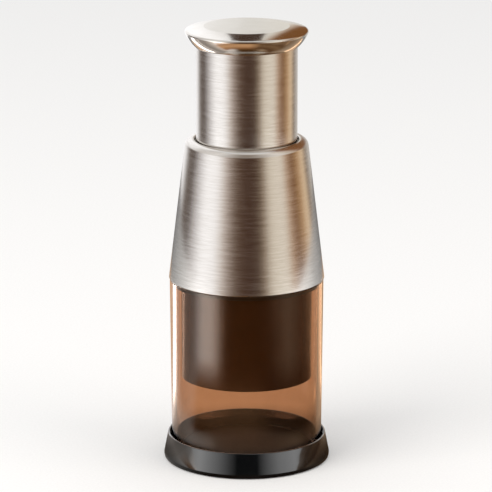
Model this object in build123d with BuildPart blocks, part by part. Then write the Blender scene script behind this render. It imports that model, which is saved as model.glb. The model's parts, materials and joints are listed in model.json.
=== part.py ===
from build123d import *

import os
from math import asin, cos, degrees, pi, radians, sin, sqrt

# Press-down garlic chopper, built piece by piece as it would come apart on a bench.
#
# A clear cup stands in a black base. The head drops into the cup: a brushed steel cone over a plastic
# housing, with a blade guard hanging below it. Pressing the knob pushes a steel tube down through the
# cone's mouth. The tube carries a twisted square shaft, which turns as it slides through a fixed nut, so
# the zigzag blade turns while it drops through its slotted wiper on to the board. A coil spring lifts
# everything again.
#
# Units are millimetres. The origin is the centre of the base on the table, and +Z runs up the axis.

# ---- driving dimensions -------------------------------------------------------------------------
travel = 37.0  # stroke of the knob
twist_lead = 320.0  # height in which the square shaft would make one full turn, left-handed
running_gap = 0.2  # between plastic parts that slide or turn
seat_gap = 0.1  # between parts that only drop into each other

# base
base_radius = 39.0
base_rim_radius = 37.0
base_height = 11.9
base_underside_z = 0.5
base_floor_z = 3.0
groove_outer_radius = 35.6
board_radius = 31.5
board_thickness = 2.2
board_ring_wall = 1.0

# cup
cup_foot_z = 3.2
cup_foot_radius = 35.1
cup_top_radius = 35.95
cup_bore_foot_radius = 32.9
cup_bore_top_radius = 33.3
cup_shoulder_z = 86.8
cup_neck_radius = 34.55
cup_top_z = 93.6

# steel cone
shell_wall = 0.8
shell_hem_radius = 36.3
shell_hem_z = 87.0
shell_top_radius = 28.35
shell_top_z = 153.3
shell_mouth_radius = 24.3
shell_shoulder_bend = 3.6

# housing inside the cone
sleeve_bore = 25.3
sleeve_wall = 1.5
sleeve_top_z = 147.0
floor_low_z = 95.5
floor_high_z = 98.5
collar_bore = 30.75
collar_radius = 33.05
collar_low_z = 84.5
hub_radius = 17.5
hub_low_z = 91.0
hub_pocket_radius = 12.6
hub_pocket_z = 92.5
nut_seat_bore = 6.0
grip_groove_radius = 32.5
grip_groove_low_z = 86.9
grip_groove_high_z = 88.7
lug_angles = (0, 120, 240)  # bayonet lugs of the guard, and their slots in the collar
cover_screw_circle = 15.1
cover_screw_start = 90  # degrees

# blade guard and wiper
guard_radius = 30.45
guard_wall = 1.55
guard_low_z = 40.0
guard_top_z = 94.0
guard_lip = 1.2
lug_radius = 31.4
lug_low_z = 90.0
lug_high_z = 92.8
wiper_thickness = 2.6
clip_thickness = 1.0

# push tube and knob
tube_radius = 23.5
tube_wall = 0.6
tube_low_z = 138.2
tube_top_z = 200.3
knob_radius = 28.5
knob_low_z = 197.0
knob_wide_z = 203.6
knob_rim_bend = 1.0
knob_flat_radius = 19.8
knob_flat_z = 206.1  # edge of the flat top, from which a sloping band runs out to the rim
knob_wall = 0.9
insert_top_z = 204.0
bush_low_z = 182.0
bush_high_z = 196.0
bush_radius = 5.05

# spiral drive
shaft_square = 7.0
shaft_round_radius = 3.5
shaft_spigot_radius = 3.0
nut_low_z = 92.7
nut_high_z = 97.5
square_low_z = 87.3
square_high_z = 138.0
square_rounding = 0.6
collar_low_on_shaft_z = 178.4
collar_high_on_shaft_z = 180.6
spigot_high_z = 88.0

# blade
blade_thickness = 0.6
blade_tip_z = 42.45
blade_top_z = 87.0
blade_fold_circle = 29.6  # where the legs would meet if the folds were sharp
blade_bend_radius = 0.9
blade_end = (24.2, -6.0)
holder_radius = 27.5
holder_low_z = 83.0
holder_high_z = 88.5
holder_hub_high_z = 90.0

# spring
spring_mean_radius = 9.8
spring_wire = 1.4
spring_low_z = 100.0
spring_high_z = 187.0
spring_turns = 14

# ---- sizes that follow --------------------------------------------------------------------------
board_top_z = base_floor_z + board_thickness
guard_bore = guard_radius - guard_wall
wiper_low_z = guard_low_z + guard_lip + running_gap
wiper_high_z = wiper_low_z + wiper_thickness
wiper_radius = guard_bore - 0.3
clip_low_z = wiper_high_z + 0.3
tube_bore = tube_radius - tube_wall
sleeve_radius = sleeve_bore + sleeve_wall
twist_per_mm = -360.0 / twist_lead  # degrees; negative is left-handed
stop_ring_radius = sleeve_bore - running_gap
stop_ring_low_z = tube_low_z - 1.2
stop_ring_high_z = stop_ring_low_z + 6.0
guide_low_z = 144.5
guide_bore = tube_radius + 0.15
journal_top_z = 196.2
insert_plug_z = 184.0
insert_flange_z = 200.5
screw_shank = 1.2
pilot_radius = screw_shank + 0.03
cover_high_z = spring_low_z


# ---- helpers ------------------------------------------------------------------------------------
def radial_plane(angle):
    """The upright plane through the axis at this angle, with its own X pointing outwards."""
    a = radians(angle)
    return Plane(origin=(0, 0, 0), x_dir=(cos(a), sin(a), 0), z_dir=(sin(a), -cos(a), 0))


def section_sketch(r_in, r_out, z_low, z_high, angle=0):
    """A rectangle from r_in to r_out and z_low to z_high, on the upright plane at this angle."""
    with BuildSketch(radial_plane(angle)) as section:
        with Locations(((r_in + r_out) / 2, (z_low + z_high) / 2)):
            Rectangle(r_out - r_in, z_high - z_low)
    return section.sketch


def add_ring(r_in, r_out, z_low, z_high, start=0, arc=360, mode=Mode.ADD):
    """Adds a square-cornered ring, or a part of one, to the piece being built."""
    section = section_sketch(r_in, r_out, z_low, z_high, start)
    revolve(section, axis=Axis.Z, revolution_arc=arc, mode=mode)


def corner(sketch, r, z):
    """The sketch's vertex nearest to radius r and height z."""
    return sketch.vertices().sort_by_distance((r, z))[0]


def polar(radius, angle):
    """A point at this radius and angle in degrees."""
    return (radius * cos(radians(angle)), radius * sin(radians(angle)))


def shell_radius(z):
    """Outer radius of the steel cone at height z, below its shoulder bend."""
    share = (z - shell_hem_z) / (shell_top_z - shell_hem_z)
    return shell_hem_radius + share * (shell_top_radius - shell_hem_radius)


def twisted_square(side, z_low, z_high, rounding):
    """A length of square bar that turns with height, in step with every other length made here."""
    with BuildSketch() as square:
        RectangleRounded(side, side, rounding)
    start = twist_per_mm * (z_low - hub_low_z)
    section = Location((0, 0, z_low), (0, 0, start)) * square.sketch.face()
    rise = z_high - z_low
    return Solid.extrude_linear_with_rotation(
        section, center=(0, 0, z_low), normal=(0, 0, rise), angle=twist_per_mm * rise
    )


def zigzag_points():
    """Corners of the folded strip. The folds alternate from side to side of a circle."""
    fold_x = [-17.6, -9.0, 0.0, 9.0, 17.6]
    sides = [1, -1, 1, -1, 1]
    folds = [(x, side * sqrt(blade_fold_circle**2 - x * x)) for x, side in zip(fold_x, sides)]
    return [(-blade_end[0], blade_end[1]), *folds, blade_end]


def zigzag_sketch(z, width):
    """The folded strip's outline at height z, drawn this wide."""
    with BuildSketch(Plane.XY.offset(z)) as outline:
        with BuildLine():
            FilletPolyline(*zigzag_points(), radius=blade_bend_radius)
        trace(line_width=width)
    return outline.sketch


def save(builder, name):
    """Labels one finished piece and writes it as its own STEP file."""
    builder.part.label = name
    export_step(builder.part, f"parts/{name}.step")


# ---- base ---------------------------------------------------------------------------------------
def make_base_cap():
    """Moulded black dish: a flared rim, a groove for the cup, and a ring that centres the board."""
    ring_inner = board_radius + seat_gap
    ring_outer = ring_inner + board_ring_wall
    foot_groove = (32.5, 36.5)
    foot_groove_top_z = base_underside_z + 1.3
    bead_z = (4.2, 7.2)
    bead_height = 0.35
    with BuildPart() as base_cap:
        with BuildSketch(Plane.XZ) as section:
            with BuildLine():
                Polyline(
                    (0, base_underside_z),
                    (base_radius - 0.25, base_underside_z),
                    (base_radius, base_underside_z + 1.2),
                    (base_rim_radius, base_height),
                    (base_rim_radius - 0.7, base_height),
                    (groove_outer_radius, base_height - 3.4),
                    (groove_outer_radius, base_floor_z),
                    (ring_outer, base_floor_z),
                    (ring_outer, board_top_z),
                    (ring_inner, board_top_z),
                    (ring_inner, base_floor_z),
                    (0, base_floor_z),
                    close=True,
                )
            make_face()
            fillet(corner(section, base_radius, base_underside_z + 1.2), 2.0)
            fillet(corner(section, base_rim_radius, base_height), 0.3)
            fillet(corner(section, base_rim_radius - 0.7, base_height), 0.3)
            fillet(corner(section, groove_outer_radius, base_height - 3.4), 1.5)
        revolve(axis=Axis.Z)
        add_ring(*foot_groove, base_underside_z - 1, foot_groove_top_z, mode=Mode.SUBTRACT)
        # three shallow beads on the groove's wall grip the foot of the cup
        bead = (groove_outer_radius - bead_height, groove_outer_radius + 0.2, *bead_z)
        for angle in (20, 140, 260):
            add_ring(*bead, start=angle, arc=20)
    return base_cap


def make_chopping_board():
    """Disc of softer plastic that the blade's tips land on."""
    with BuildPart() as chopping_board:
        with BuildSketch(Plane.XZ) as section:
            with Locations((board_radius / 2, base_floor_z + board_thickness / 2)):
                Rectangle(board_radius, board_thickness)
            fillet(corner(section, board_radius, board_top_z), 0.5)
        revolve(axis=Axis.Z)
    return chopping_board


def make_foot_ring():
    """Soft ring let into the underside of the base. The chopper stands on it."""
    ring_middle_radius = 34.5
    ring_width = 3.8
    ring_height = base_underside_z + 1.3
    with BuildPart() as foot_ring:
        with BuildSketch(Plane.XZ) as section:
            with Locations((ring_middle_radius, ring_height / 2)):
                Rectangle(ring_width, ring_height)
            fillet(section.vertices().group_by(Axis.Y)[0], 0.3)
        revolve(axis=Axis.Z)
    return foot_ring


# ---- cup ----------------------------------------------------------------------------------------
def make_clear_cup():
    """Clear moulded tube, open at both ends, with a neck that slips up inside the steel cone."""
    with BuildPart() as clear_cup:
        with BuildSketch(Plane.XZ) as section:
            with BuildLine():
                Polyline(
                    (cup_bore_foot_radius, cup_foot_z),
                    (cup_foot_radius, cup_foot_z),
                    (cup_top_radius, cup_shoulder_z),
                    (cup_neck_radius, cup_shoulder_z),
                    (cup_neck_radius - 0.1, cup_top_z),
                    (cup_bore_top_radius, cup_top_z),
                    close=True,
                )
            make_face()
            fillet(corner(section, cup_foot_radius, cup_foot_z), 0.6)
            fillet(corner(section, cup_bore_foot_radius, cup_foot_z), 0.4)
            fillet(corner(section, cup_top_radius, cup_shoulder_z), 0.3)
            fillet(corner(section, cup_neck_radius - 0.1, cup_top_z), 0.4)
            fillet(corner(section, cup_bore_top_radius, cup_top_z), 0.4)
        revolve(axis=Axis.Z)
    return clear_cup


# ---- head: the fixed pieces ---------------------------------------------------------------------
def make_outer_shell():
    """Spun steel cone. Its mouth turns inwards over the guide ring, and its hem meets the cup."""
    inner_top_z = shell_top_z - shell_wall
    inner_top_radius = shell_radius(inner_top_z) - shell_wall
    with BuildPart() as outer_shell:
        with BuildSketch(Plane.XZ) as wall:
            with BuildLine():
                Polyline(
                    (shell_hem_radius - shell_wall, shell_hem_z),
                    (shell_hem_radius, shell_hem_z),
                    (shell_top_radius, shell_top_z),
                    (shell_mouth_radius, shell_top_z),
                    (shell_mouth_radius, inner_top_z),
                    (inner_top_radius, inner_top_z),
                    close=True,
                )
            make_face()
            fillet(corner(wall, shell_top_radius, shell_top_z), shell_shoulder_bend)
            fillet(corner(wall, inner_top_radius, inner_top_z), shell_shoulder_bend - shell_wall)
            fillet(corner(wall, shell_mouth_radius, shell_top_z), 0.5)
            fillet(corner(wall, shell_hem_radius, shell_hem_z), 0.3)
        revolve(axis=Axis.Z)
    return outer_shell


def make_inner_housing():
    """Moulded frame in the cone: sleeve for the tube, hub for the nut, collar for cup and guard."""
    rib_angles = range(30, 390, 60)
    rib_low_z = floor_high_z - 0.5
    rib_high_z = sleeve_top_z - 3
    rib_inner = sleeve_radius - 0.4
    rib_gap = shell_wall + 0.2
    vent_circle = 20.1
    vent_radius = 1.8
    pilot_depth = 5.0
    slot_radius = 31.6
    slot_low_z = 89.8
    slot_high_z = 93.1
    with BuildPart() as inner_housing:
        # sleeve, floor, collar and hub
        add_ring(sleeve_bore, sleeve_radius, floor_low_z, sleeve_top_z)
        with BuildSketch(Plane.XZ):
            with BuildLine():
                Polyline(
                    (hub_pocket_radius, floor_low_z),
                    (shell_radius(floor_low_z) - shell_wall - seat_gap, floor_low_z),
                    (shell_radius(floor_high_z) - shell_wall - seat_gap, floor_high_z),
                    (hub_pocket_radius, floor_high_z),
                    close=True,
                )
            make_face()
        revolve(axis=Axis.Z)
        add_ring(collar_bore, collar_radius, collar_low_z, floor_high_z)
        add_ring(hub_pocket_radius, hub_radius, hub_low_z, floor_high_z)
        add_ring(nut_seat_bore, hub_radius, hub_low_z, hub_pocket_z)
        # ribs that carry the cone
        for angle in rib_angles:
            with BuildSketch(radial_plane(angle)):
                with BuildLine():
                    Polyline(
                        (rib_inner, rib_low_z),
                        (shell_radius(rib_low_z) - rib_gap, rib_low_z),
                        (shell_radius(rib_high_z) - rib_gap, rib_high_z),
                        (rib_inner, rib_high_z),
                        close=True,
                    )
                make_face()
            extrude(amount=0.8, both=True)
        # bayonet slots in the collar, and the groove for the grip ring
        for angle in lug_angles:
            cut = (collar_bore - 0.5, slot_radius, collar_low_z - 1, slot_high_z)
            add_ring(*cut, start=angle + 22, arc=16, mode=Mode.SUBTRACT)
            cut = (collar_bore - 0.5, slot_radius, slot_low_z, slot_high_z)
            add_ring(*cut, start=angle - 9, arc=34, mode=Mode.SUBTRACT)
        cut = (grip_groove_radius, collar_radius + 0.5, grip_groove_low_z, grip_groove_high_z)
        add_ring(*cut, mode=Mode.SUBTRACT)
        # vents in the floor, and pilot holes for the cover's screws
        with BuildSketch(Plane.XY.offset(floor_high_z)):
            with PolarLocations(vent_circle, 6, start_angle=0):
                Circle(vent_radius)
        extrude(amount=floor_low_z - floor_high_z, mode=Mode.SUBTRACT)
        with BuildSketch(Plane.XY.offset(floor_high_z)):
            with PolarLocations(cover_screw_circle, 3, start_angle=cover_screw_start):
                Circle(pilot_radius)
        extrude(amount=-pilot_depth, mode=Mode.SUBTRACT)
    return inner_housing


def make_cup_grip_ring():
    """Silicone ring in the collar's groove. It holds the cup by friction."""
    ring_middle_radius = grip_groove_radius + 0.32
    ring_middle_z = (grip_groove_low_z + grip_groove_high_z) / 2
    with BuildPart() as cup_grip_ring:
        with BuildSketch(Plane.XZ) as section:
            with Locations((ring_middle_radius, ring_middle_z)):
                Rectangle(0.6, 1.6)
            fillet(section.vertices().group_by(Axis.X)[-1], 0.25)
        revolve(axis=Axis.Z)
    return cup_grip_ring


def make_guide_ring():
    """Slippery ring under the cone's mouth that keeps the tube upright."""
    spigot_radius = sleeve_bore - seat_gap
    flange_radius = 27.2
    flange_top_z = sleeve_top_z + 2.0
    lip_radius = 24.9
    lip_top_z = 151.6
    with BuildPart() as guide_ring:
        add_ring(guide_bore, spigot_radius, guide_low_z, sleeve_top_z)
        add_ring(guide_bore, flange_radius, sleeve_top_z, flange_top_z)
        add_ring(guide_bore, lip_radius, flange_top_z, lip_top_z)
    return guide_ring


def make_blade_guard():
    """Dark cylinder round the blade. Its lip carries the wiper, and lugs lock it in the collar."""
    groove_top_z = clip_low_z + clip_thickness + 0.1
    with BuildPart() as blade_guard:
        add_ring(guard_bore, guard_radius, guard_low_z, guard_top_z)
        add_ring(guard_bore - 1.3, guard_bore + 0.3, guard_low_z, guard_low_z + guard_lip)
        clip_groove = (guard_bore - 0.5, guard_bore + 0.4, clip_low_z, groove_top_z)
        add_ring(*clip_groove, mode=Mode.SUBTRACT)
        for angle in lug_angles:
            add_ring(guard_radius - 0.3, lug_radius, lug_low_z, lug_high_z, angle - 7, 14)
        low_edges = blade_guard.edges().filter_by(GeomType.CIRCLE).group_by(Axis.Z)[0]
        fillet(low_edges.sort_by(SortBy.RADIUS)[-1], 0.5)
    return blade_guard


def make_wiper_clip():
    """Split ring that snaps into the guard above the wiper."""
    with BuildPart() as wiper_clip:
        ends = (clip_low_z + 0.05, clip_low_z + clip_thickness)
        add_ring(guard_bore - 1.2, guard_bore + 0.3, *ends, start=12, arc=336)
    return wiper_clip


def make_ratchet_ring():
    """Ring of saw teeth pressed into the hub. The nut's pawls bear on the teeth."""
    teeth = 24
    tip_radius = 10.9
    root_radius = 11.7
    pitch = 360 / teeth
    outline = []
    for tooth in range(teeth):
        outline += [polar(tip_radius, tooth * pitch), polar(root_radius, tooth * pitch)]
    with BuildPart() as ratchet_ring:
        with BuildSketch(Plane.XY.offset(hub_pocket_z)):
            Circle(hub_pocket_radius - 0.05)
            with BuildLine():
                Polyline(*outline, close=True)
            make_face(mode=Mode.SUBTRACT)
        extrude(amount=floor_high_z - hub_pocket_z - 0.1)
    return ratchet_ring


def make_drive_nut():
    """Nut with a twisted square hole, and three sprung pawls that let it slip one way only."""
    core_radius = 7.6
    root_radius = core_radius - 0.5
    arm = (8.6, 9.5)  # inner and outer radius
    tooth_gap = 1.0
    pawl_tip_radius = 11.3
    pawl_back_radius = 11.2
    root_angle = 68
    end_angle = 84
    heel_angle = 8
    with BuildPart() as drive_nut:
        with BuildSketch(Plane.XY.offset(nut_low_z)):
            Circle(core_radius)
            for start in (0, 120, 240):
                with BuildLine():
                    # a bent arm that trails from its root to a tip behind one tooth
                    root = polar(root_radius, start + root_angle)
                    root_end = polar(root_radius, start + end_angle)
                    tip = polar(pawl_tip_radius, start + tooth_gap)
                    back = polar(pawl_back_radius, start + 3.5)
                    CenterArc((0, 0), arm[1], start + heel_angle, end_angle - heel_angle)
                    Line(polar(arm[1], start + end_angle), root_end)
                    Line(root_end, root)
                    Line(root, polar(arm[0], start + root_angle))
                    CenterArc((0, 0), arm[0], start + tooth_gap, root_angle - tooth_gap)
                    Line(polar(arm[0], start + tooth_gap), tip)
                    Line(tip, back)
                    Line(back, polar(arm[1], start + heel_angle))
                make_face()
        extrude(amount=nut_high_z - nut_low_z)
        bore = twisted_square(shaft_square + 0.3, nut_low_z - 0.5, nut_high_z + 0.5, 0.75)
        add(bore, mode=Mode.SUBTRACT)
    return drive_nut


def make_nut_cover():
    """Steel plate over the nut. The spring stands on it."""
    with BuildPart() as nut_cover:
        with BuildSketch(Plane.XY.offset(floor_high_z)):
            Circle(hub_radius - 0.2)
            Circle(nut_seat_bore + 0.2, mode=Mode.SUBTRACT)
            with PolarLocations(cover_screw_circle, 3, start_angle=cover_screw_start):
                Circle(screw_shank + 0.15, mode=Mode.SUBTRACT)
        extrude(amount=cover_high_z - floor_high_z)
    return nut_cover


def make_cover_screws():
    """Three pan-head screws that hold the cover."""
    head_radius = 2.1
    head_height = 1.3
    shank_length = 6.0
    recess = (2.4, 0.5)  # length and width of each arm of the cross
    with BuildPart() as cover_screws:
        with BuildSketch(Plane.XY.offset(cover_high_z)):
            with PolarLocations(cover_screw_circle, 3, start_angle=cover_screw_start):
                Circle(head_radius)
        extrude(amount=head_height)
        fillet(cover_screws.edges().group_by(Axis.Z)[-1], 0.5)
        with BuildSketch(Plane.XY.offset(cover_high_z - shank_length)):
            with PolarLocations(cover_screw_circle, 3, start_angle=cover_screw_start):
                Circle(screw_shank)
        extrude(amount=shank_length)
        with BuildSketch(Plane.XY.offset(cover_high_z + head_height)):
            with PolarLocations(cover_screw_circle, 3, start_angle=cover_screw_start):
                Rectangle(recess[0], recess[1])
                Rectangle(recess[1], recess[0])
        extrude(amount=-0.7, mode=Mode.SUBTRACT)
    return cover_screws


def make_press_bumper():
    """Soft ring on the housing's floor that cushions the end of the stroke."""
    ring_middle_radius = 23.9
    ring_width = 2.3
    ring_height = 1.2
    with BuildPart() as press_bumper:
        with BuildSketch(Plane.XZ) as section:
            with Locations((ring_middle_radius, floor_high_z + ring_height / 2)):
                Rectangle(ring_width, ring_height)
            fillet(section.vertices().group_by(Axis.Y)[-1], 0.3)
        revolve(axis=Axis.Z)
    return press_bumper


def make_return_spring():
    """Coil spring between the nut's cover and the knob's insert."""
    end_gap = spring_wire / 2 + 0.08
    rise = spring_high_z - spring_low_z - 2 * end_gap
    with BuildPart() as return_spring:
        with BuildLine() as coil:
            Helix(
                pitch=rise / spring_turns,
                height=rise,
                radius=spring_mean_radius,
                center=(0, 0, spring_low_z + end_gap),
            )
        with BuildSketch(Plane(origin=coil.line @ 0, z_dir=coil.line % 0)):
            Circle(spring_wire / 2)
        sweep()
    return return_spring


# ---- plunger ------------------------------------------------------------------------------------
def make_press_knob():
    """Polished steel cap: a flat top, a sloping band, a rounded rim and a flared skirt."""
    lip_inner = tube_radius + 0.05
    lip_outer = lip_inner + 0.45
    dome_rise = 0.2
    dome_radius = (knob_flat_radius**2 + dome_rise**2) / (2 * dome_rise)
    dome_angle = degrees(asin(knob_flat_radius / dome_radius))
    top_z = knob_flat_z + dome_rise
    dome_centre_z = top_z - dome_radius
    # the rim is an arc from where the skirt ends to where the band starts
    rim_centre = (knob_radius - knob_rim_bend, knob_wide_z)
    rim_low_angle = -28
    rim_high_angle = 76
    rim_low = (
        rim_centre[0] + knob_rim_bend * cos(radians(rim_low_angle)),
        rim_centre[1] + knob_rim_bend * sin(radians(rim_low_angle)),
    )
    rim_high = (
        rim_centre[0] + knob_rim_bend * cos(radians(rim_high_angle)),
        rim_centre[1] + knob_rim_bend * sin(radians(rim_high_angle)),
    )
    band_middle = (23.8, 205.44)
    skirt_middle = (26.54, 199.83)
    inner_lip_z = knob_low_z + 1.2
    inner_rim = (27.5, 203.65)
    inner_band_middle = (23.63, 204.55)
    inner_skirt_middle = (25.83, 200.3)
    with BuildPart() as press_knob:
        with BuildSketch(Plane.XZ):
            with BuildLine():
                # outside, from the lip up over the rim to the centre
                ThreePointArc((lip_outer, knob_low_z), skirt_middle, rim_low)
                CenterArc(rim_centre, knob_rim_bend, rim_low_angle, rim_high_angle - rim_low_angle)
                ThreePointArc(rim_high, band_middle, (knob_flat_radius, knob_flat_z))
                CenterArc((0, dome_centre_z), dome_radius, 90 - dome_angle, dome_angle)
                Line((0, top_z), (0, top_z - knob_wall))
                # inside, back out to the lip
                inner_centre = (0, dome_centre_z - knob_wall)
                CenterArc(inner_centre, dome_radius, 90 - dome_angle, dome_angle)
                inner_flat_edge = (knob_flat_radius, knob_flat_z - knob_wall)
                ThreePointArc(inner_flat_edge, inner_band_middle, inner_rim)
                ThreePointArc(inner_rim, inner_skirt_middle, (lip_inner, inner_lip_z))
                Line((lip_inner, inner_lip_z), (lip_inner, knob_low_z))
                Line((lip_inner, knob_low_z), (lip_outer, knob_low_z))
            make_face()
        revolve(axis=Axis.Z)
    return press_knob


def make_knob_insert():
    """Moulded core of the knob. It plugs the tube, seats the spring and carries the shaft's bush."""
    boss_radius = 12.5
    hollow_radius = 20.6
    hollow_high_z = 198.0
    cavity_radius = 7.5
    spring_pocket = (8.7, 10.9)
    web_low_z = 188.0
    with BuildPart() as knob_insert:
        add_ring(0, tube_bore - 0.05, insert_plug_z, insert_flange_z)
        with BuildSketch(Plane.XZ):
            with BuildLine():
                Polyline(
                    (0, insert_flange_z),
                    (25.2, insert_flange_z),
                    (26.2, insert_top_z - 0.8),
                    (24.5, insert_top_z),
                    (0, insert_top_z),
                    close=True,
                )
            make_face()
        revolve(axis=Axis.Z)
        add_ring(0, boss_radius, bush_low_z, insert_plug_z)
        # hollow round the boss, pocket for the spring, hole for the bush, cavity for the shaft's end
        add_ring(boss_radius, hollow_radius, insert_plug_z - 1, hollow_high_z, mode=Mode.SUBTRACT)
        add_ring(*spring_pocket, bush_low_z - 1, spring_high_z, mode=Mode.SUBTRACT)
        add_ring(0, bush_radius, bush_low_z - 1, bush_high_z + 1, mode=Mode.SUBTRACT)
        add_ring(0, cavity_radius, bush_high_z, insert_top_z + 0.5, mode=Mode.SUBTRACT)
        # six webs stiffen the hollow
        for angle in range(0, 360, 60):
            web_radii = (boss_radius - 0.5, hollow_radius + 0.4)
            web = section_sketch(*web_radii, web_low_z, hollow_high_z + 0.5, angle)
            extrude(web, amount=0.7, both=True)
    return knob_insert


def make_push_tube():
    """Brushed steel tube between knob and stop ring."""
    with BuildPart() as push_tube:
        add_ring(tube_bore, tube_radius, tube_low_z, tube_top_z)
    return push_tube


def make_stop_ring():
    """Ring on the tube's lower end. It runs in the sleeve and stops the tube from leaving the cone."""
    with BuildPart() as stop_ring:
        add_ring(tube_radius, stop_ring_radius, stop_ring_low_z, stop_ring_high_z)
        add_ring(22.3, tube_radius + 0.3, stop_ring_low_z, tube_low_z)
    return stop_ring


def make_rest_bumper():
    """Soft ring on the stop ring that quiets the return against the guide ring."""
    with BuildPart() as rest_bumper:
        add_ring(tube_radius, 24.9, stop_ring_high_z, stop_ring_high_z + 1.2)
    return rest_bumper


def make_swivel_bush():
    """Bush in which the shaft's journal turns."""
    with BuildPart() as swivel_bush:
        add_ring(shaft_round_radius + 0.05, bush_radius, bush_low_z, bush_high_z)
    return swivel_bush


def make_thrust_washer():
    """Washer that takes the push between bush and shaft collar."""
    with BuildPart() as thrust_washer:
        add_ring(shaft_round_radius + 0.1, 7.0, collar_high_on_shaft_z + 0.1, bush_low_z - 0.1)
    return thrust_washer


# ---- blade rotor --------------------------------------------------------------------------------
def make_drive_shaft():
    """Twisted square shaft with a round journal, a thrust collar and a threaded hole at each end."""
    thrust_collar_radius = 5.4
    low_hole_top_z = 90.5
    top_hole_low_z = 188.0
    with BuildPart() as drive_shaft:
        add(twisted_square(shaft_square, square_low_z, square_high_z, square_rounding))
        add_ring(0, shaft_round_radius, square_high_z - 0.5, journal_top_z)
        add_ring(0, thrust_collar_radius, collar_low_on_shaft_z, collar_high_on_shaft_z)
        add_ring(0, shaft_spigot_radius, holder_low_z + 0.1, spigot_high_z)
        add_ring(0, pilot_radius, holder_low_z, low_hole_top_z, mode=Mode.SUBTRACT)
        add_ring(0, pilot_radius, top_hole_low_z, journal_top_z + 1, mode=Mode.SUBTRACT)
    return drive_shaft


def make_end_washer():
    """Washer on the journal's end. It hangs the shaft on the bush."""
    with BuildPart() as end_washer:
        add_ring(screw_shank + 0.2, 6.4, journal_top_z, journal_top_z + 1.0)
    return end_washer


def make_end_screw():
    """Screw down into the journal's end."""
    head_low_z = journal_top_z + 1.0
    head_top_z = head_low_z + 1.7
    shank_length = 8.0
    with BuildPart() as end_screw:
        add_ring(0, 2.7, head_low_z, head_top_z)
        fillet(end_screw.edges().group_by(Axis.Z)[-1], 0.5)
        add_ring(0, screw_shank, head_low_z - shank_length, head_low_z)
        with BuildSketch(Plane.XY.offset(head_top_z)):
            Rectangle(3.0, 0.6)
            Rectangle(0.6, 3.0)
        extrude(amount=-0.9, mode=Mode.SUBTRACT)
    return end_screw


def make_blade_holder():
    """Disc and hub that carry the blade under the shaft."""
    hub_outer = 8.0
    recess = (11.0, 25.0, square_low_z, holder_high_z + 1)
    with BuildPart() as blade_holder:
        add_ring(shaft_spigot_radius, holder_radius, holder_low_z, holder_high_z)
        add_ring(shaft_spigot_radius, hub_outer, holder_high_z, holder_hub_high_z)
        seat = twisted_square(shaft_square + 0.04, square_low_z, holder_hub_high_z + 0.5, square_rounding)
        add(seat, mode=Mode.SUBTRACT)
        spigot_bore = shaft_spigot_radius + 0.02
        add_ring(0, spigot_bore, holder_low_z - 1, spigot_high_z, mode=Mode.SUBTRACT)
        # recesses lighten the top face and leave six spokes
        for angle in range(0, 360, 60):
            add_ring(*recess, start=angle + 6, arc=48, mode=Mode.SUBTRACT)
        groove = zigzag_sketch(holder_low_z, blade_thickness + 0.02)
        extrude(groove, amount=blade_top_z - holder_low_z, mode=Mode.SUBTRACT)
    return blade_holder


def make_zigzag_blade():
    """One strip of blade steel folded into a zigzag and ground along its lower edge."""
    edge_height = 1.6
    with BuildPart() as zigzag_blade:
        strip = zigzag_sketch(blade_tip_z + edge_height, blade_thickness)
        extrude(strip, amount=blade_top_z - blade_tip_z - edge_height)
        extrude(strip, amount=-edge_height, taper=7.5)
    return zigzag_blade


def make_hub_screw():
    """Screw up through the holder into the shaft's spigot, with its washer."""
    washer_low_z = holder_low_z - 0.6
    head_low_z = washer_low_z - 1.0
    shank_top_z = 89.5
    with BuildPart() as hub_screw:
        add_ring(0, 3.4, washer_low_z, holder_low_z)
        add_ring(0, 2.5, head_low_z, washer_low_z)
        add_ring(0, screw_shank, holder_low_z - 0.1, shank_top_z)
        with BuildSketch(Plane.XY.offset(head_low_z)):
            Rectangle(3.0, 0.6)
            Rectangle(0.6, 3.0)
        extrude(amount=0.7, mode=Mode.SUBTRACT)
    return hub_screw


# ---- wiper --------------------------------------------------------------------------------------
def make_wiper_plate():
    """Slotted disc that strips food from the blade. It turns with the blade inside the guard."""
    slot_width = blade_thickness + 0.9
    with BuildPart() as wiper_plate:
        with BuildSketch(Plane.XY.offset(wiper_low_z)):
            Circle(wiper_radius)
        extrude(amount=wiper_thickness)
        slot = zigzag_sketch(wiper_low_z - 1, slot_width)
        extrude(slot, amount=wiper_thickness + 2, mode=Mode.SUBTRACT)
        # the slot ends in two round holes, which clear the strip's square ends
        with BuildSketch(Plane.XY.offset(wiper_low_z - 1)):
            with Locations((-blade_end[0], blade_end[1]), blade_end):
                Circle(slot_width / 2)
        extrude(amount=wiper_thickness + 2, mode=Mode.SUBTRACT)
    return wiper_plate


MAKERS = (
    make_base_cap,
    make_chopping_board,
    make_foot_ring,
    make_clear_cup,
    make_outer_shell,
    make_inner_housing,
    make_cup_grip_ring,
    make_guide_ring,
    make_blade_guard,
    make_wiper_clip,
    make_ratchet_ring,
    make_drive_nut,
    make_nut_cover,
    make_cover_screws,
    make_press_bumper,
    make_return_spring,
    make_press_knob,
    make_knob_insert,
    make_push_tube,
    make_stop_ring,
    make_rest_bumper,
    make_swivel_bush,
    make_thrust_washer,
    make_drive_shaft,
    make_end_washer,
    make_end_screw,
    make_blade_holder,
    make_zigzag_blade,
    make_hub_screw,
    make_wiper_plate,
)

os.makedirs("parts", exist_ok=True)
for maker in MAKERS:
    save(maker(), maker.__name__.removeprefix("make_"))
    print("made", maker.__name__.removeprefix("make_"))

turn_per_stroke = travel * 360 / twist_lead
turn_per_metre = 2 * pi / twist_lead * 1000
print(f"stroke {travel} mm, blade turn {turn_per_stroke:.1f} degrees, {turn_per_metre:.3f} rad/m")
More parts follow.
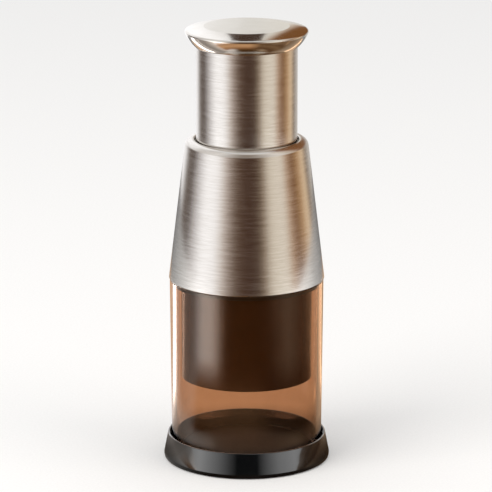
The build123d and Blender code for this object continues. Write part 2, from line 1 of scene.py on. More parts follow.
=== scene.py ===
# %% [markdown]
# # A press-down garlic chopper
#
# The real chopper is a stack of round parts: a black moulded base, a clear cup, a dark blade guard that
# hangs inside it, a brushed steel cone, a brushed tube that slides in the cone, and a polished knob.
# The parts were modelled in a CAD program, so their shapes and sizes are already right. This lesson loads
# them, gives each one the surface that its real material has, and lights them as a small product set.

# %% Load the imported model
import json
import math

import bmesh
import bpy
from mathutils import Matrix, Vector


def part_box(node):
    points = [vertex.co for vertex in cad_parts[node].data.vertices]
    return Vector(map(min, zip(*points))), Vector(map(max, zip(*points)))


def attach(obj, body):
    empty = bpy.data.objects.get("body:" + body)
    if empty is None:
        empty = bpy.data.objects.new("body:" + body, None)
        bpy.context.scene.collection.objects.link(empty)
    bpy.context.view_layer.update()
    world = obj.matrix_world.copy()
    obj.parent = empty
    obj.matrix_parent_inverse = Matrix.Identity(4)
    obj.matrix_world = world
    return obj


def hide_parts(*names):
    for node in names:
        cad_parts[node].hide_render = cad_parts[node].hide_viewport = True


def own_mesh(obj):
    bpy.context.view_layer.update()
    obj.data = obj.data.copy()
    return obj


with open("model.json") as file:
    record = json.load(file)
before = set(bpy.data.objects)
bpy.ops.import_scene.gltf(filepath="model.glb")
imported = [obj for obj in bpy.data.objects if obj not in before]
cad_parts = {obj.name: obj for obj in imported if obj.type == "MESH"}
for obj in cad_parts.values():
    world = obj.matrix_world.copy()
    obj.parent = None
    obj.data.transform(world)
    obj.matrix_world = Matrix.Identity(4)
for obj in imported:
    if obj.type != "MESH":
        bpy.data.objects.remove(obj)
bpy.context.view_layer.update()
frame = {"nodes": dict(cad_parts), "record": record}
nodes = frame["nodes"]
scene = bpy.context.scene
MM = 0.001

# %% [markdown]
# ## A few small tools
#
# Colours are written as the hex values a designer would use. Blender works in linear light, so one
# function converts them. Every material is a graph of nodes. One function adds a node: it sets the node's
# own settings, then fills each socket with a number, a colour, or a link from another node. Another one
# turns a finished bmesh into an object.


# %% Colour, node and mesh helpers
def linear(hex_colour):
    """An sRGB hex colour as linear red, green, blue and an alpha of 1."""
    channels = [int(hex_colour[i : i + 2], 16) / 255 for i in (1, 3, 5)]
    return [c / 12.92 if c <= 0.04045 else ((c + 0.055) / 1.055) ** 2.4 for c in channels] + [1]


def add(tree, kind, sockets=None, **settings):
    """Adds a shader node. A socket's value is a number, a colour, or another node's output."""
    made = tree.nodes.new("ShaderNode" + kind)
    for name, value in settings.items():
        setattr(made, name, value)
    for name, value in (sockets or {}).items():
        if isinstance(value, bpy.types.NodeSocket):
            tree.links.new(value, made.inputs[name])
        else:
            made.inputs[name].default_value = value
    return made


def fresh_material(name):
    """An empty material and its node tree."""
    material = bpy.data.materials.new(name)
    material.use_nodes = True
    material.node_tree.nodes.clear()
    return material, material.node_tree


def finish_material(material, shader):
    """Connects the shader to the surface."""
    output = add(material.node_tree, "OutputMaterial")
    material.node_tree.links.new(shader.outputs[0], output.inputs["Surface"])
    print("material:", material.name, "with", len(material.node_tree.nodes), "nodes")
    return material


def stops(ramp, *pairs):
    """Sets a colour ramp's stops from (position, hex colour) pairs."""
    elements = ramp.color_ramp.elements
    while len(elements) < len(pairs):
        elements.new(0.5)
    for element, (position, colour) in zip(elements, pairs):
        element.position = position
        element.color = linear(colour)


def link_mesh(name, shape, material):
    """Turns a bmesh into an object in the scene and frees the bmesh."""
    mesh = bpy.data.meshes.new(name)
    shape.to_mesh(mesh)
    shape.free()
    mesh.materials.append(material)
    made = bpy.data.objects.new(name, mesh)
    scene.collection.objects.link(made)
    return made


# %% [markdown]
# ## The camera
#
# The camera stands some way off with a long lens. A short lens close by would frame the same height, yet
# it would make the cup's sides lean. The camera looks slightly down, so that the top of the knob and the
# base's rim both show.

# %% Camera
CAMERA_SIDE = -0.0003  # metres to the right of the axis
CAMERA_DISTANCE = 1.5702  # metres from the axis, along the floor
CAMERA_HEIGHT = 0.5105  # metres
CAMERA_PITCH = 14.592  # degrees below level
CAMERA_LENS = 254.6  # millimetres
SENSOR_WIDTH = 36  # millimetres

camera_data = bpy.data.cameras.new("product_camera")
camera_data.lens = CAMERA_LENS
camera_data.sensor_width = SENSOR_WIDTH
camera_data.clip_start = 0.01
camera_data.clip_end = 20
camera = bpy.data.objects.new("product_camera", camera_data)
camera.location = (CAMERA_SIDE, -CAMERA_DISTANCE, CAMERA_HEIGHT)
camera.rotation_euler = (math.radians(90 - CAMERA_PITCH), 0, 0)
scene.collection.objects.link(camera)
scene.camera = camera
print("camera height", CAMERA_HEIGHT, "m, lens", CAMERA_LENS, "mm")

# %% [markdown]
# ## Floor and soft light
#
# The floor is one large pale sheet of paper. Area lights alone could light the set, but a white sky fills
# the shadows evenly with no more work, and two large area lights then give the light a direction. Floor
# and lights are kept out of reflections, because the next step decides what the steel reflects.


# %% Paper floor
FLOOR_HALF_WIDTH = 6  # metres
PAPER_TOOTH = 900  # grains in a metre, coarser than real paper's so that they can show


def make_paper():
    material, tree = fresh_material("matt_white_paper")
    place = add(tree, "TexCoord")
    # paper has a faint tooth; it keeps the floor from looking like a flat colour
    tooth = add(tree, "TexNoise", {"Vector": place.outputs["Object"], "Scale": PAPER_TOOTH, "Detail": 2})
    tint = add(tree, "ValToRGB", {"Fac": tooth.outputs["Fac"]})
    stops(tint, (0.3, "#f3f3f3"), (0.7, "#f8f8f8"))
    # no gloss at all, or the paper would mirror the painted mat that lies just above it
    sockets = {"Base Color": tint.outputs["Color"], "Roughness": 0.9, "Specular IOR Level": 0.0}
    return finish_material(material, add(tree, "BsdfPrincipled", sockets))


shape = bmesh.new()
bmesh.ops.create_grid(shape, x_segments=1, y_segments=1, size=FLOOR_HALF_WIDTH)
floor = link_mesh("paper_floor", shape, make_paper())
floor.visible_glossy = False


# %% Sky and area lights
SKY_STRENGTH = 0.82

world = bpy.data.worlds.new("white_studio")
scene.world = world
world.use_nodes = True
sky = world.node_tree.nodes["Background"]
sky.inputs["Color"].default_value = linear("#ffffff")
sky.inputs["Strength"].default_value = SKY_STRENGTH


def soft_light(name, place, target, width, watts, colour):
    """A large square area light that faces the target and doesn't show in reflections."""
    data = bpy.data.lights.new(name, "AREA")
    data.size = width
    data.energy = watts
    data.color = linear(colour)[:3]
    light = bpy.data.objects.new(name, data)
    light.location = place
    light.rotation_euler = (Vector(target) - Vector(place)).to_track_quat("-Z", "Y").to_euler()
    light.visible_glossy = False
    scene.collection.objects.link(light)
    return light


LIT_POINT = (0, 0, 0.1)  # the middle of the chopper
LIGHT_WIDTH = 1.2  # metres
soft_light("key_left", (-1.1, -0.9, 1.3), LIT_POINT, LIGHT_WIDTH, 14, "#fffaf4")
soft_light("fill_right", (1.3, -0.7, 0.9), LIT_POINT, LIGHT_WIDTH, 6, "#fff4e8")
print("sky strength", SKY_STRENGTH, "and two lights", LIGHT_WIDTH, "m wide")

# %% [markdown]
# ## What the steel reflects
#
# Polished or brushed steel has almost no colour of its own. Its look comes from what stands around it. A
# studio places white, dark and tinted cards round the set, and they show as tall stripes on a cylinder.
# Many small planes could stand for them. One ring with a colour ramp painted round it is easier to adjust,
# since every card is one line in a list. It shows only in reflections: the camera, the shadows and the
# light on matt surfaces all ignore it.
#
# A stripe's place on the cylinder follows from a mirror's rule. A card at 60 degrees from the camera's
# direction shows where the surface has turned by half of that, 30 degrees.

# %% Ring of cards
RING_RADIUS = 0.42
RING_LOW = -0.05
RING_HIGH = 0.95
RING_SEGMENTS = 128

# (degrees from the camera's direction, positive to the right; colour). The middle of the ring:
CARDS = [
    (-180, "#bcbab6"),
    (-170, "#e6e6e8"),
    (-144, "#e2e2e4"),
    (-126, "#5f554e"),
    (-106, "#463b35"),
    (-92, "#a8a4a4"),
    (-72, "#ececee"),
    (-50, "#e8e8ea"),
    (-38, "#bdb3ac"),
    (-30, "#8d7e74"),
    (-17, "#4e3a2b"),
    (0, "#38241a"),
    (19, "#38251a"),
    (28, "#7a6754"),
    (38, "#c4bbad"),
    (62, "#cbc4b9"),
    (74, "#9c7c60"),
    (86, "#58341c"),
    (100, "#9a7751"),
    (115, "#d2bb9e"),
    (128, "#6a5e52"),
    (146, "#aaa6a2"),
    (180, "#bcbab6"),
]
# the lowest strip of the ring, up to LOW_EDGE, which the base mirrors
LOW_CARDS = [
    (-180, "#1b1b1c"),
    (-116, "#7c7c7c"),
    (-94, "#9b9b9b"),
    (-66, "#dcdcdc"),
    (-37, "#9b9b9b"),
    (-24, "#656565"),
    (-13, "#0a0a0b"),
    (14, "#0a0a0b"),
    (29, "#888888"),
    (44, "#b8b8b8"),
    (68, "#d0d0d0"),
    (92, "#a8a8a8"),
    (116, "#7c7c7c"),
    (180, "#1b1b1c"),
]
LOW_BRIGHTNESS = 2.9
LOW_EDGE = 0.057
LOW_FADE = 0.004  # the height over which one strip turns into the next
# the upper part, from HIGH_EDGE, which the knob's flat top and the band round it mirror
HIGH_CARDS = [
    (-180, "#c0beba"),
    (-170, "#ececee"),
    (-130, "#dededf"),
    (-100, "#b2aeab"),
    (-60, "#d0cecc"),
    (-14, "#7d746c"),
    (14, "#7d746c"),
    (60, "#cdc9c4"),
    (100, "#a2907f"),
    (112, "#70492c"),
    (150, "#6a4628"),
    (171.6, "#6a4628"),
    (172.6, "#8d6c50"),
    (173.6, "#c4c0b8"),
    (180, "#c0beba"),
]
HIGH_EDGE = 0.25
HIGH_FADE = 0.03
CARD_BRIGHTNESS = 1.6


def round_the_axis(cards):
    """A ramp's stops from (degrees, colour) pairs that go round from -180 to 180."""
    return [((degrees + 180) / 360, colour) for degrees, colour in cards]


print("cards:", len(LOW_CARDS), "below,", len(CARDS), "in the middle,", len(HIGH_CARDS), "above")


# %% Paint for the ring
def turn_share(tree, place):
    """The angle round the axis from the camera's direction, as a share from 0 to 1 of a full turn."""
    axes = add(tree, "SeparateXYZ", {"Vector": place})
    toward = add(tree, "Math", {0: axes.outputs["Y"], 1: -1}, operation="MULTIPLY")
    angle = add(tree, "Math", {0: axes.outputs["X"], 1: toward.outputs[0]}, operation="ARCTAN2")
    limits = {"Value": angle.outputs[0], "From Min": -math.pi, "From Max": math.pi}
    return add(tree, "MapRange", limits).outputs["Result"]


def make_card_ring_material():
    material, tree = fresh_material("studio_cards")
    place = add(tree, "TexCoord").outputs["Object"]
    share = turn_share(tree, place)
    height = add(tree, "SeparateXYZ", {"Vector": place}).outputs["Z"]
    low = add(tree, "ValToRGB", {"Fac": share})
    stops(low, *round_the_axis(LOW_CARDS))
    tall = add(tree, "ValToRGB", {"Fac": share})
    stops(tall, *round_the_axis(CARDS))
    high = add(tree, "ValToRGB", {"Fac": share})
    stops(high, *round_the_axis(HIGH_CARDS))
    # the three strips are laid over one another from the lowest up
    edge = {"From Min": LOW_EDGE - LOW_FADE, "From Max": LOW_EDGE}
    above = add(tree, "MapRange", {"Value": height, **edge}).outputs["Result"]
    sockets = {"Fac": above, "Color1": low.outputs["Color"], "Color2": tall.outputs["Color"]}
    paint = add(tree, "MixRGB", sockets)
    edge = {"From Min": HIGH_EDGE - HIGH_FADE, "From Max": HIGH_EDGE}
    top = add(tree, "MapRange", {"Value": height, **edge}).outputs["Result"]
    sockets = {"Fac": top, "Color1": paint.outputs["Color"], "Color2": high.outputs["Color"]}
    paint = add(tree, "MixRGB", sockets)
    levels = {"To Min": LOW_BRIGHTNESS, "To Max": CARD_BRIGHTNESS}
    power = add(tree, "MapRange", {"Value": above, **levels}).outputs["Result"]
    glow = add(tree, "Emission", {"Color": paint.outputs["Color"], "Strength": power})
    return finish_material(material, glow)


def only_in_reflections(obj):
    """The object shows in mirrors and nowhere else."""
    obj.visible_camera = False
    obj.visible_diffuse = False
    obj.visible_transmission = False
    obj.visible_shadow = False


# %% The ring itself
shape = bmesh.new()
bmesh.ops.create_cone(
    shape,
    cap_ends=False,
    segments=RING_SEGMENTS,
    radius1=RING_RADIUS,
    radius2=RING_RADIUS,
    depth=RING_HIGH - RING_LOW,
    matrix=Matrix.Translation((0, 0, (RING_HIGH + RING_LOW) / 2)),
)
card_ring = link_mesh("card_ring", shape, make_card_ring_material())
only_in_reflections(card_ring)
print("card ring:", RING_RADIUS, "m in radius,", RING_SEGMENTS, "segments")

# %% [markdown]
# ## What the lower parts reflect
#
# The camera looks down, so the cup, the guard inside it and the slope under the knob's rim mirror what
# lies on the table and not the ring. A painted mat goes there, again for reflections only. A band of it
# in front is warm wood, which colours that slope. Elsewhere it carries the ring's pattern inwards, so that
# a stripe on the steel goes on down the guard. A few strips of it are brighter: a wide one gives the guard
# its soft highlight on the left, and narrow ones put the thin highlights on the cup. Thin lamps could make
# those highlights too, but then they would also light the floor.

# %% Table mat
MAT_RADIUS = 0.42
MAT_HEIGHT = 0.0004  # just clear of the paper
MAT_SEGMENTS = 96
# (degrees from the camera's direction, colour)
MAT_WEDGES = [
    (-180, "#c4a384"),
    (-152, "#c4a384"),
    (-138, "#ece8e6"),
    (-124, "#98908a"),
    (-104, "#938a83"),
    (-92, "#b0a69d"),
    (-76, "#f2ebe5"),
    (-52, "#ece3db"),
    (-38, "#a08f80"),
    (-30, "#7a5c42"),
    (-22, "#6f4c2a"),
    (24, "#6a4726"),
    (36, "#76563a"),
    (50, "#957a60"),
    (62, "#b0967a"),
    (76, "#987c60"),
    (86, "#7d6048"),
    (104, "#7a6048"),
    (128, "#94806c"),
    (152, "#c4a384"),
    (180, "#c4a384"),
]
# (degrees from the camera's direction, half width in degrees, brightness)
MAT_STRIPS = [
    (-136, 5.0, 6.0),
    (-120, 2.5, 3.2),
    (-55, 27.0, 3.6),
    (103, 2.5, 2.6),
    (146, 3.0, 5.0),
]
MAT_BRIGHTNESS = 1.2
STRIP_CORE = 0.4  # the share of a strip's half width that is fully bright
print("mat:", len(MAT_WEDGES), "wedges and", len(MAT_STRIPS), "brighter strips")


# %% Paint for the mat
def brightest(tree, share, strips, low):
    """A value that peaks at each strip's direction, with soft edges."""
    power = None
    for degrees, half_width, high in strips:
        off = add(tree, "Math", {0: share, 1: (degrees + 180) / 360}, operation="SUBTRACT")
        away = add(tree, "Math", {0: off.outputs[0]}, operation="ABSOLUTE")
        edges = {"From Min": STRIP_CORE * half_width / 360, "From Max": half_width / 360}
        peak = add(tree, "MapRange", {"Value": away.outputs[0], "To Min": high, "To Max": low, **edges})
        if power is None:
            power = peak.outputs["Result"]
        else:
            both = {0: power, 1: peak.outputs["Result"]}
            power = add(tree, "Math", both, operation="MAXIMUM").outputs[0]
    return power


def make_mat_material():
    material, tree = fresh_material("warm_table_mat")
    place = add(tree, "TexCoord").outputs["Object"]
    share = turn_share(tree, place)
    wedges = add(tree, "ValToRGB", {"Fac": share})
    stops(wedges, *round_the_axis(MAT_WEDGES))
    distance = add(tree, "VectorMath", {0: place}, operation="LENGTH").outputs["Value"]
    outward = add(tree, "Math", {0: distance, 1: MAT_RADIUS}, operation="DIVIDE").outputs[0]
    wood = add(tree, "ValToRGB", {"Fac": outward})
    stops(wood, (0.1, "#6f4a30"), (0.22, "#8f6442"), (0.32, "#c79a70"), (0.42, "#8d6340"))
    # the wood is in shade to the right
    dim = add(tree, "ValToRGB", {"Fac": share})
    stops(dim, (0.52, "#ffffff"), (0.60, "#9a9a9a"), (0.80, "#9a9a9a"))
    sockets = {"Fac": 1.0, "Color1": wood.outputs["Color"], "Color2": dim.outputs["Color"]}
    wood = add(tree, "MixRGB", sockets, blend_type="MULTIPLY")
    # it is a band in front of the chopper, from its left to its right
    band = add(tree, "ValToRGB", {"Fac": outward})
    stops(band, (0.18, "#000000"), (0.22, "#ffffff"), (0.38, "#ffffff"), (0.50, "#000000"))
    front = add(tree, "ValToRGB", {"Fac": share})
    stops(front, (0.25, "#000000"), (0.30, "#ffffff"), (0.79, "#ffffff"), (0.83, "#000000"))
    both = {0: band.outputs["Color"], 1: front.outputs["Color"]}
    near = add(tree, "Math", both, operation="MULTIPLY").outputs[0]
    sockets = {"Fac": near, "Color1": wedges.outputs["Color"], "Color2": wood.outputs["Color"]}
    paint = add(tree, "MixRGB", sockets)
    # the strips start outside that band, well clear of the base
    strips = brightest(tree, share, MAT_STRIPS, MAT_BRIGHTNESS)
    edge = {"From Min": 0.22, "From Max": 0.34}
    clear = add(tree, "MapRange", {"Value": outward, **edge}).outputs["Result"]
    beyond = add(tree, "Math", {0: clear, 1: near}, operation="SUBTRACT", use_clamp=True).outputs[0]
    levels = {"To Min": MAT_BRIGHTNESS, "To Max": strips}
    power = add(tree, "MapRange", {"Value": beyond, **levels}).outputs["Result"]
    # close by, the table lies in the base's own shade, so the foot of the base looks nearly black
    shaded = {"From Min": 0.11, "From Max": 0.20, "To Min": 0.2}
    shade = add(tree, "MapRange", {"Value": outward, **shaded}).outputs["Result"]
    power = add(tree, "Math", {0: power, 1: shade}, operation="MULTIPLY").outputs[0]
    glow = add(tree, "Emission", {"Color": paint.outputs["Color"], "Strength": power})
    return finish_material(material, glow)


# %% The mat itself
shape = bmesh.new()
lift = Matrix.Translation((0, 0, MAT_HEIGHT))
bmesh.ops.create_circle(shape, cap_ends=True, segments=MAT_SEGMENTS, radius=MAT_RADIUS, matrix=lift)
table_mat = link_mesh("table_mat", shape, make_mat_material())
only_in_reflections(table_mat)
# the guard stands behind the clear cup, and its reflections leave through the cup's wall
table_mat.visible_transmission = True
card_ring.visible_transmission = True
print("table mat:", MAT_RADIUS, "m in radius")

# %% Dark strip overhead
# The band round the knob's top slopes forward a little, so it mirrors what hangs high behind the chopper. A
# narrow dark card there puts a soft dark patch on the middle of the band, between two bright ones.
STRIP_WIDTH = 0.056
STRIP_LENGTH = 0.44
STRIP_TILT = -30  # degrees
STRIP_PLACE = (0.0, 0.28, 0.46)
BLOTCHES = 12  # in a metre, so that the card isn't one flat colour


def make_dark_card():
    material, tree = fresh_material("dark_card")
    place = add(tree, "TexCoord").outputs["Object"]
    blotches = add(tree, "TexNoise", {"Vector": place, "Scale": BLOTCHES})
    tone = add(tree, "ValToRGB", {"Fac": blotches.outputs["Fac"]})
    stops(tone, (0.3, "#3e2f25"), (0.7, "#55443a"))
    glow = add(tree, "Emission", {"Color": tone.outputs["Color"], "Strength": 1.0})
    return finish_material(material, glow)


shape = bmesh.new()
bmesh.ops.create_grid(shape, x_segments=1, y_segments=1, size=0.5)
tilt = Matrix.Rotation(math.radians(STRIP_TILT), 3, "X")
bmesh.ops.scale(shape, vec=(STRIP_WIDTH, STRIP_LENGTH, 1), verts=shape.verts)
bmesh.ops.rotate(shape, cent=(0, 0, 0), matrix=tilt, verts=shape.verts)
bmesh.ops.translate(shape, vec=STRIP_PLACE, verts=shape.verts)
overhead_strip = link_mesh("overhead_strip", shape, make_dark_card())
only_in_reflections(overhead_strip)
print("overhead strip:", STRIP_WIDTH, "m wide")

# %% [markdown]
# ## Brushed stainless steel
#
# The cone and the tube are turned against a belt, so thousands of fine scratches run round the axis. Each
# scratch spreads light up and down but hardly sideways, so reflections smear along the axis and stay
# crisp round it. An image of scratches could be wrapped round the parts, but it would need a seam. Here the
# shader's anisotropy does the smearing, and the scratches themselves are noise, stretched far round the
# axis and squeezed along it, which has no seam and no end.

# %% Brushed steel
SCRATCH_LENGTH = 5 * MM
FINE_SCRATCH = 0.3 * MM  # real ones are about 0.05 mm, too fine to show
BROAD_SCRATCH = 0.8 * MM  # where the belt pressed harder


def stretched_noise(tree, place, across, along, detail=2):
    """Noise whose grains are this long across the axis and this high along it."""
    scale = (1 / across, 1 / across, 1 / along)
    grain = add(tree, "Mapping", {"Vector": place, "Scale": scale})
    return add(tree, "TexNoise", {"Vector": grain.outputs[0], "Scale": 1, "Detail": detail})


def brushed_steel(name, dark, light, roughness, scratch_depth):
    material, tree = fresh_material(name)
    place = add(tree, "TexCoord").outputs["Object"]
    fine = stretched_noise(tree, place, SCRATCH_LENGTH, FINE_SCRATCH, 3)
    broad = stretched_noise(tree, place, 3 * SCRATCH_LENGTH, BROAD_SCRATCH)
    both = add(tree, "Math", {0: fine.outputs["Fac"], 1: broad.outputs["Fac"]}, operation="ADD").outputs[0]
    mean = add(tree, "Math", {0: both, 1: 0.5}, operation="MULTIPLY").outputs[0]
    tone = add(tree, "ValToRGB", {"Fac": mean})
    stops(tone, (0.30, dark), (0.70, light))
    levels = {"From Min": 0.7, "From Max": 1.3, "To Min": roughness[0], "To Max": roughness[1]}
    rough = add(tree, "MapRange", {"Value": both, **levels})
    bump = add(tree, "Bump", {"Height": fine.outputs["Fac"], "Strength": 0.3, "Distance": scratch_depth})
    tangent = add(tree, "Tangent", direction_type="RADIAL", axis="Z")
    shader = add(
        tree,
        "BsdfPrincipled",
        {
            "Base Color": tone.outputs["Color"],
            "Metallic": 1.0,
            "Roughness": rough.outputs["Result"],
            "Anisotropic": 0.9,
            "Anisotropic Rotation": 0.0,
            "Tangent": tangent.outputs[0],
            "Normal": bump.outputs[0],
        },
    )
    return finish_material(material, shader)


# grey with a warm cast; its stripes are sharp across and blurred up and down
cone_steel = brushed_steel("stainless_belt_brushed", "#d0cbc5", "#e6e3df", (0.15, 0.20), 0.005 * MM)


# %% [markdown]
# ## Polished stainless steel
#
# The knob is the same steel, buffed until the scratches are nearly gone. A perfect mirror would be simpler
# and would look drawn. A buffed surface still carries faint hazy patches and a few hairlines, which break
# up the sharpest reflections.

# %% Polished steel
HAZE_PATCH = 9 * MM
HAIRLINE = 0.5 * MM  # real ones are far finer


def polished_steel():
    material, tree = fresh_material("stainless_buffed")
    place = add(tree, "TexCoord").outputs["Object"]
    haze = add(tree, "TexNoise", {"Vector": place, "Scale": 1 / HAZE_PATCH, "Detail": 4})
    rough = add(tree, "MapRange", {"Value": haze.outputs["Fac"], "To Min": 0.08, "To Max": 0.15})
    tone = add(tree, "ValToRGB", {"Fac": haze.outputs["Fac"]})
    stops(tone, (0.35, "#d8d4ce"), (0.65, "#dedbd6"))
    hairlines = stretched_noise(tree, place, HAZE_PATCH, HAIRLINE)
    bump = add(tree, "Bump", {"Height": hairlines.outputs["Fac"], "Strength": 0.2, "Distance": 0.01 * MM})
    shader = add(
        tree,
        "BsdfPrincipled",
        {
            "Base Color": tone.outputs["Color"],
            "Metallic": 1.0,
            "Roughness": rough.outputs["Result"],
            "Normal": bump.outputs[0],
        },
    )
    return finish_material(material, shader)


# bright, and clear enough to mirror the cards as shapes with edges
knob_steel = polished_steel()


# %% [markdown]
# ## Clear plastic
#
# The cup is moulded in SAN, a clear hard plastic. A half transparent surface would be quicker to render.
# But the wall has a thickness and light bends in it. The slight warm tint, strongest at the cup's sides, is
# painted into the plastic: it stands in for warm wood seen through the clear cup. So the shader lets light
# through, and the wall's two faces do the rest. Washing leaves the surface faintly hazy in patches.

# %% Clear SAN
WEAR_PATCH = 5 * MM


def clear_san():
    material, tree = fresh_material("san_clear_moulded")
    place = add(tree, "TexCoord").outputs["Object"]
    wear = add(tree, "TexNoise", {"Vector": place, "Scale": 1 / WEAR_PATCH, "Detail": 5, "Roughness": 0.7})
    levels = {"From Min": 0.45, "From Max": 0.75, "To Min": 0.015, "To Max": 0.07}
    rough = add(tree, "MapRange", {"Value": wear.outputs["Fac"], **levels})
    # the peach tint is painted: it stands in for warm wood seen through the clear cup
    tint = add(tree, "ValToRGB", {"Fac": wear.outputs["Fac"]})
    stops(tint, (0.3, "#e6cfbe"), (0.7, "#ead5c6"))
    shader = add(
        tree,
        "BsdfPrincipled",
        {
            "Base Color": tint.outputs["Color"],
            "Roughness": rough.outputs["Result"],
            "IOR": 1.50,
            "Transmission Weight": 1.0,
        },
    )
    return finish_material(material, shader)


# clear, with a painted peach tint for wood seen through it, and bright lines where the wall is seen
# lengthways
cup_plastic = clear_san()


# %% [markdown]
# ## Moulded plastics and rubber
#
# Each of these could have a graph of its own. Yet every other plastic here is one kind of surface with
# different numbers: a base colour that drifts a little, a fine texture left by the mould, and a roughness
# that varies with it. So one function makes them all.

# %% Moulded plastics
DRIFT = 18 * MM  # how far the colour goes before it changes


def moulded(name, dark, light, grain, roughness, depth, ior=1.5, coat=0.0):
    """A moulded surface. grain is the mould texture's size, depth is how far it stands out."""
    material, tree = fresh_material(name)
    place = add(tree, "TexCoord").outputs["Object"]
    texture = add(tree, "TexNoise", {"Vector": place, "Scale": 1 / grain, "Detail": 3})
    drift = add(tree, "TexNoise", {"Vector": place, "Scale": 1 / DRIFT, "Detail": 2})
    tone = add(tree, "ValToRGB", {"Fac": drift.outputs["Fac"]})
    stops(tone, (0.3, dark), (0.7, light))
    levels = {"From Min": 0.3, "From Max": 0.7, "To Min": roughness[0], "To Max": roughness[1]}
    rough = add(tree, "MapRange", {"Value": texture.outputs["Fac"], **levels})
    bump = add(tree, "Bump", {"Height": texture.outputs["Fac"], "Strength": 0.5, "Distance": depth})
    shader = add(
        tree,
        "BsdfPrincipled",
        {
            "Base Color": tone.outputs["Color"],
            "Roughness": rough.outputs["Result"],
            "IOR": ior,
            "Coat Weight": coat,
            "Normal": bump.outputs[0],
        },
    )
    return finish_material(material, shader)


# ABS from a polished mould: black, and it mirrors its surroundings
base_abs = moulded("abs_gloss_black", "#08090a", "#0e0f10", 6 * MM, (0.05, 0.10), 0.002 * MM, 1.58, 1.0)
# polypropylene from a spark-eroded mould: dull black that hides scratches
matt_pp = moulded("polypropylene_spark_textured", "#121212", "#181819", 0.5 * MM, (0.45, 0.62), 0.02 * MM)
# ABS with a satin skin: dark brown with broad soft highlights
guard_abs = moulded("abs_satin_brown", "#432a18", "#4e3220", 0.6 * MM, (0.20, 0.28), 0.003 * MM)
# silicone rubber: mid grey with hardly any shine
silicone = moulded("silicone_matt_grey", "#55555a", "#616166", 0.4 * MM, (0.6, 0.8), 0.03 * MM, 1.41)
# acetal: off-white and slightly waxy
acetal = moulded("acetal_natural", "#dedbd0", "#e9e6dc", 0.8 * MM, (0.32, 0.45), 0.01 * MM, 1.48)


# %% [markdown]
# ## Bare steel inside
#
# Shaft, screws, washers and the spring are plain turned or drawn steel, and the blade is ground. They
# rarely show, so one flat grey could do, yet when the chopper is open they should read as metal with tool
# marks on it. One function draws the marks, long or short, round the axis or along it.


# %% Turned and drawn steel
def bare_steel(name, dark, light, across, along, roughness):
    material, tree = fresh_material(name)
    place = add(tree, "TexCoord").outputs["Object"]
    marks = stretched_noise(tree, place, across, along, 3)
    tone = add(tree, "ValToRGB", {"Fac": marks.outputs["Fac"]})
    stops(tone, (0.35, dark), (0.65, light))
    levels = {"To Min": roughness[0], "To Max": roughness[1]}
    rough = add(tree, "MapRange", {"Value": marks.outputs["Fac"], **levels})
    bump = add(tree, "Bump", {"Height": marks.outputs["Fac"], "Strength": 0.4, "Distance": 0.01 * MM})
    shader = add(
        tree,
        "BsdfPrincipled",
        {
            "Base Color": tone.outputs["Color"],
            "Metallic": 1.0,
            "Roughness": rough.outputs["Result"],
            "Normal": bump.outputs[0],
        },
    )
    return finish_material(material, shader)


# turned on a lathe: grey, with fine rings round the axis
turned_steel = bare_steel("steel_turned", "#a9a7a4", "#c6c4c1", 6 * MM, 0.25 * MM, (0.22, 0.40))
# drawn through a die: darker, with short dull streaks
spring_wire = bare_steel("steel_drawn_wire", "#8f8e8d", "#aeadab", 3 * MM, 1.0 * MM, (0.28, 0.45))
# ground lengthways: the brightest of the three, with upright lines
blade_steel = bare_steel("steel_ground_blade", "#c4c4c5", "#dddddd", 0.3 * MM, 7 * MM, (0.14, 0.30))


# %% [markdown]
# ## Dressing the CAD pieces
#
# A CAD piece keeps its mesh, and its material slots are given the new materials. That could be done piece
# by piece. The record names one slot for each piece, so a table from slot to material dresses them all and
# leaves none out.

# %% Materials on slots
FINISHES = {
    "black_gloss_plastic": base_abs,
    "black_matt_plastic": matt_pp,
    "grey_silicone": silicone,
    "clear_plastic": cup_plastic,
    "brushed_steel": cone_steel,
    "polished_steel": knob_steel,
    "spring_steel": spring_wire,
    "bare_steel": turned_steel,
    "blade_steel": blade_steel,
    "white_acetal": acetal,
    "dark_guard_plastic": guard_abs,
}

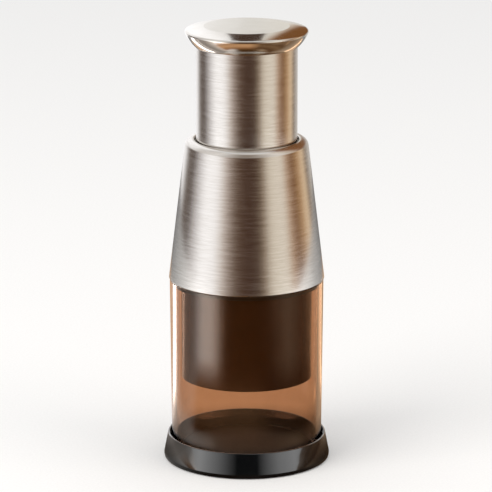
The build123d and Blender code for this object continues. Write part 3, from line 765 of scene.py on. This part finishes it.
for part in frame["record"]["subparts"]:
    mesh = nodes[part["node"]].data
    if not mesh.materials:
        mesh.materials.append(None)
    for index in range(len(mesh.materials)):
        mesh.materials[index] = FINISHES[part["material_slot"]]

# %% [markdown]
# ## The return spring
#
# The spring is the one piece that changes shape: it shortens as the knob goes down. The CAD solid is a
# rigid coil, so a new mesh stands for it. A curve with a round bevel could make it, and would then have to
# be turned into a mesh. The spin operator gives the mesh at once: a small circle goes round the axis and
# climbs a little at each step. The new coil is hung on the head, and the CAD coil is hidden.

# %% Coil
SPRING_TURNS = 14
STEPS_PER_TURN = 28
WIRE_SIDES = 10
WIRE_RADIUS = 0.7 * MM
COIL_RADIUS = 9.8 * MM

spring_low, spring_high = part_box("return_spring")
# a hair over one wire radius is left at each end, which keeps the wire inside the CAD piece's box
climb = spring_high.z - spring_low.z - 2.05 * WIRE_RADIUS
steps = SPRING_TURNS * STEPS_PER_TURN

shape = bmesh.new()
wire = bmesh.ops.create_circle(shape, cap_ends=False, segments=WIRE_SIDES, radius=WIRE_RADIUS)
upright = Matrix.Rotation(math.radians(90), 4, "X")
start = Matrix.Translation((COIL_RADIUS, 0, spring_low.z + 1.02 * WIRE_RADIUS)) @ upright
bmesh.ops.transform(shape, matrix=start, verts=wire["verts"])
bmesh.ops.spin(
    shape,
    geom=shape.verts[:] + shape.edges[:],
    cent=(0, 0, 0),
    axis=(0, 0, 1),
    dvec=(0, 0, climb / steps),
    angle=math.radians(360 * SPRING_TURNS),
    steps=steps,
    use_merge=False,
)
bmesh.ops.holes_fill(shape, edges=[e for e in shape.edges if e.is_boundary])
bmesh.ops.remove_doubles(shape, verts=shape.verts, dist=0.001 * MM)
bmesh.ops.recalc_face_normals(shape, faces=shape.faces)
coil_spring = link_mesh("coil_spring", shape, spring_wire)
for face in coil_spring.data.polygons:
    face.use_smooth = True
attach(coil_spring, "head")
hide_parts("return_spring")
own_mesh(coil_spring)

# %% [markdown]
# ## Colour of the final picture
#
# A film-like view would soften the brightest tones and turn the paper grey. The standard view shows
# colours as they were mixed, so the steel's whites stay white.

# %% View
scene.view_settings.view_transform = "Standard"
scene.view_settings.look = "None"
